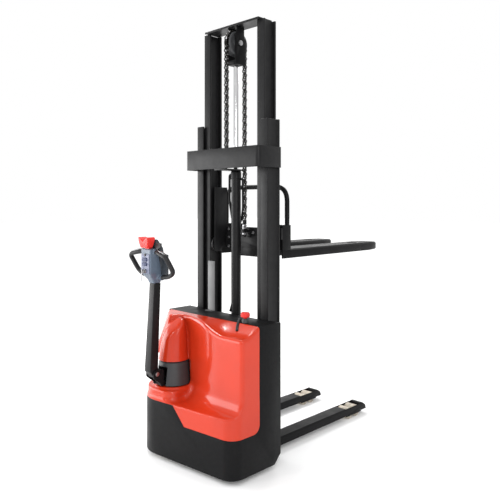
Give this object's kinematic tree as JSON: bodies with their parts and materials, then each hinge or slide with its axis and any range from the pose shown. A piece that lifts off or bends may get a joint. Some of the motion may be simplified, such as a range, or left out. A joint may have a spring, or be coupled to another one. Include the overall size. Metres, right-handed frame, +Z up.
{
  "type": "walkie stacker",
  "caption": "Pedestrian-operated stacker truck: two-stage chain mast, straddled fork carriage, base legs with rollers, steered drive unit under a hood, and a tiller.",
  "frame": {"origin": "on the floor, under the middle of the truck's overall length and width, with the forks raised", "axes": "+Z up, +Y along the forks away from the operator, +X to the operator's right"},
  "size_m": [0.79, 1.7263, 2.56],
  "materials": {
    "black_paint": "satin powder coat",
    "red_hood": "glossy moulded cover",
    "red_plastic": "gloss",
    "dark_plastic": "fine grain",
    "pale_plastic": "satin",
    "pale_paint": "satin",
    "grey_plastic": "fine grain",
    "grip_rubber": "matt",
    "polyurethane": "satin cast tread",
    "chrome": "ground and polished",
    "steel": "turned",
    "aluminium": "extruded",
    "cast_iron": "as cast, painted",
    "chain_steel": "oiled"
  },
  "bodies": {
    "chassis": {"chassis_frame": "black_paint", "top_deck": "black_paint", "rear_hood": "red_hood", "hose_guard": "pale_paint", "battery_pack": "dark_plastic", "hydraulic_unit": "cast_iron", "motor_controller": "aluminium", "stop_collar": "dark_plastic", "hood_latch": "dark_plastic", "mast_base": "black_paint", "outer_channel_left": "black_paint", "outer_channel_right": "black_paint", "crossbeam": "black_paint", "lift_cylinder": "black_paint", "chain_rear_run": "chain_steel", "leg_left": "black_paint", "leg_right": "black_paint"},
    "steering": {"drive_motor": "cast_iron", "drive_gearbox": "cast_iron", "tiller_base": "black_paint", "steering_cover": "dark_plastic", "tiller_pin": "steel"},
    "drive_wheel": {"drive_wheel": "polyurethane"},
    "tiller": {"tiller_arm": "black_paint", "tiller_head": "grey_plastic", "head_panel": "pale_plastic", "grip_left": "grip_rubber", "grip_right": "grip_rubber", "key_switch": "steel"},
    "belly_button": {"belly_button": "red_plastic"},
    "throttle": {"throttle": "dark_plastic"},
    "raise_button": {"raise_button": "dark_plastic"},
    "lower_button": {"lower_button": "dark_plastic"},
    "horn_button": {"horn_button": "dark_plastic"},
    "key": {"key": "steel"},
    "stop_button": {"stop_button": "red_plastic"},
    "castor": {"castor_fork": "steel"},
    "castor_wheel": {"castor_wheel": "polyurethane"},
    "inner_mast": {"inner_channel_left": "black_paint", "inner_channel_right": "black_paint", "inner_top_beam": "black_paint", "inner_bottom_beam": "black_paint", "pulley_yoke": "black_paint", "pulley_pin": "chrome", "piston_rod": "chrome", "chain_wrap": "chain_steel"},
    "chain_pulley": {"chain_pulley": "cast_iron"},
    "mast_roller_left": {"mast_roller_left": "steel"},
    "mast_roller_right": {"mast_roller_right": "steel"},
    "carriage": {"carriage_frame": "black_paint", "fork_left": "black_paint", "fork_right": "black_paint", "backrest_loop": "black_paint", "chain_front_run": "chain_steel"},
    "carriage_roller_left": {"carriage_roller_left": "steel"},
    "carriage_roller_right": {"carriage_roller_right": "steel"},
    "load_roller_left_rear": {"load_roller_left_rear": "polyurethane"},
    "load_roller_left_front": {"load_roller_left_front": "polyurethane"},
    "load_roller_right_rear": {"load_roller_right_rear": "polyurethane"},
    "load_roller_right_front": {"load_roller_right_front": "polyurethane"}
  },
  "joints": [
    {"name": "mast_lift", "type": "slide", "parent": "chassis", "child": "inner_mast", "axis": [0, 0, 1], "range_m": [-0.55, 0.82], "deforming": ["chain_rear_run"]},
    {"name": "carriage_lift", "type": "slide", "parent": "inner_mast", "child": "carriage", "axis": [0, 0, 1], "range_m": [-0.55, 0.82], "deforming": ["chain_front_run"]},
    {"name": "pulley_spin", "type": "hinge", "parent": "inner_mast", "child": "chain_pulley", "pos_m": [0, -0.305, 2.45], "axis": [1, 0, 0], "continuous": true},
    {"name": "tiller_steer", "type": "hinge", "parent": "chassis", "child": "steering", "pos_m": [-0.195, -0.63, 0.26], "axis": [0, 0, 1], "range_deg": [-60, 60]},
    {"name": "drive_wheel_spin", "type": "hinge", "parent": "steering", "child": "drive_wheel", "pos_m": [-0.195, -0.63, 0.105], "axis": [1, 0, 0], "continuous": true},
    {"name": "tiller_tilt", "type": "hinge", "parent": "steering", "child": "tiller", "pos_m": [-0.195, -0.78, 0.5], "axis": [1, 0, 0], "range_deg": [0, 78], "stiffness_Nm_per_rad": 30, "springref_deg": -68.75},
    {"name": "belly_press", "type": "slide", "parent": "tiller", "child": "belly_button", "axis": [0, 0, -1], "range_m": [0, 0.005], "stiffness_N_per_m": 1500, "springref_m": -0.003},
    {"name": "throttle_turn", "type": "hinge", "parent": "tiller", "child": "throttle", "pos_m": [-0.195, -0.795, 1.207], "axis": [1, 0, 0], "range_deg": [-30, 30], "stiffness_Nm_per_rad": 0.8},
    {"name": "raise_press", "type": "slide", "parent": "tiller", "child": "raise_button", "axis": [0, 1, 0], "range_m": [0, 0.003], "stiffness_N_per_m": 1200, "springref_m": -0.002},
    {"name": "lower_press", "type": "slide", "parent": "tiller", "child": "lower_button", "axis": [0, 1, 0], "range_m": [0, 0.003], "stiffness_N_per_m": 1200, "springref_m": -0.002},
    {"name": "horn_press", "type": "slide", "parent": "tiller", "child": "horn_button", "axis": [0, 1, 0], "range_m": [0, 0.003], "stiffness_N_per_m": 1200, "springref_m": -0.002},
    {"name": "key_turn", "type": "hinge", "parent": "tiller", "child": "key", "pos_m": [-0.195, -0.83, 1.092], "axis": [0, -1, 0], "range_deg": [0, 90]},
    {"name": "stop_press", "type": "slide", "parent": "chassis", "child": "stop_button", "axis": [0, 0, -1], "range_m": [0, 0.006]},
    {"name": "castor_swivel", "type": "hinge", "parent": "chassis", "child": "castor", "pos_m": [0.215, -0.59, 0.15], "axis": [0, 0, 1], "continuous": true},
    {"name": "castor_roll", "type": "hinge", "parent": "castor", "child": "castor_wheel", "pos_m": [0.215, -0.556, 0.0625], "axis": [1, 0, 0], "continuous": true},
    {"name": "mast_roller_left_spin", "type": "hinge", "parent": "inner_mast", "child": "mast_roller_left", "pos_m": [-0.273, -0.297, 0.6745], "axis": [1, 0, 0], "continuous": true},
    {"name": "carriage_roller_left_spin", "type": "hinge", "parent": "carriage", "child": "carriage_roller_left", "pos_m": [-0.217, -0.279, 1.22], "axis": [1, 0, 0], "continuous": true},
    {"name": "load_roller_left_rear_roll", "type": "hinge", "parent": "chassis", "child": "load_roller_left_rear", "pos_m": [-0.1985, 0.55, 0.0375], "axis": [1, 0, 0], "continuous": true},
    {"name": "load_roller_left_front_roll", "type": "hinge", "parent": "chassis", "child": "load_roller_left_front", "pos_m": [-0.1985, 0.63, 0.0375], "axis": [1, 0, 0], "continuous": true},
    {"name": "mast_roller_right_spin", "type": "hinge", "parent": "inner_mast", "child": "mast_roller_right", "pos_m": [0.273, -0.297, 0.6745], "axis": [1, 0, 0], "continuous": true},
    {"name": "carriage_roller_right_spin", "type": "hinge", "parent": "carriage", "child": "carriage_roller_right", "pos_m": [0.217, -0.279, 1.22], "axis": [1, 0, 0], "continuous": true},
    {"name": "load_roller_right_rear_roll", "type": "hinge", "parent": "chassis", "child": "load_roller_right_rear", "pos_m": [0.1985, 0.55, 0.0375], "axis": [1, 0, 0], "continuous": true},
    {"name": "load_roller_right_front_roll", "type": "hinge", "parent": "chassis", "child": "load_roller_right_front", "pos_m": [0.1985, 0.63, 0.0375], "axis": [1, 0, 0], "continuous": true}
  ],
  "couplings": [
    {"joint": "carriage_lift", "follows": "mast_lift", "ratio": 1},
    {"joint": "pulley_spin", "follows": "mast_lift", "rad_per_m": 12.987},
    {"joint": "mast_roller_left_spin", "follows": "mast_lift", "rad_per_m": 24.814},
    {"joint": "carriage_roller_left_spin", "follows": "mast_lift", "rad_per_m": 26.11},
    {"joint": "mast_roller_right_spin", "follows": "mast_lift", "rad_per_m": 24.814},
    {"joint": "carriage_roller_right_spin", "follows": "mast_lift", "rad_per_m": 26.11}
  ]
}
